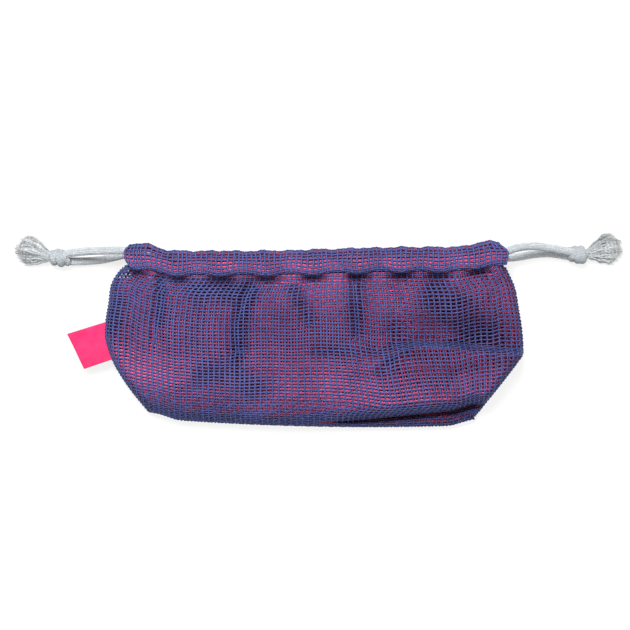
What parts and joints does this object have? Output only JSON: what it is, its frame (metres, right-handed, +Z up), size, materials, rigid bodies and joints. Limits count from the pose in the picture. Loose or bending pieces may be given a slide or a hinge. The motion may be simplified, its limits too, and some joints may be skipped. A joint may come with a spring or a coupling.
{
  "type": "drawstring tissue pouch",
  "caption": "Flat drawstring pouch of open mesh with a contrast mesh lining, boxed corners, a corded hem and a folded side label.",
  "frame": {"origin": "on the back wall's flat underside, at the middle of the pouch's width and just above the middle of its height", "axes": "+Z up from the table through the front wall, +Y towards the mouth, +X to the right as the picture shows it"},
  "size_m": [0.351, 0.1097, 0.0283],
  "materials": {
    "outer_mesh": "open polyester mesh, slate blue",
    "lining_mesh": "open polyester mesh, hot pink",
    "label_satin": "satin ribbon, hot pink",
    "cord": "soft braided cord, light cool grey",
    "cord_fray": "frayed yarn, light cool grey"
  },
  "bodies": {
    "root": {"outer_mesh": "outer_mesh", "lining_mesh": "lining_mesh", "side_label": "label_satin", "drawcord_left": "cord", "drawcord_right": "cord", "knot_left": "cord", "knot_right": "cord", "tassel_left": "cord_fray", "tassel_right": "cord_fray"}
  },
  "joints": []
}
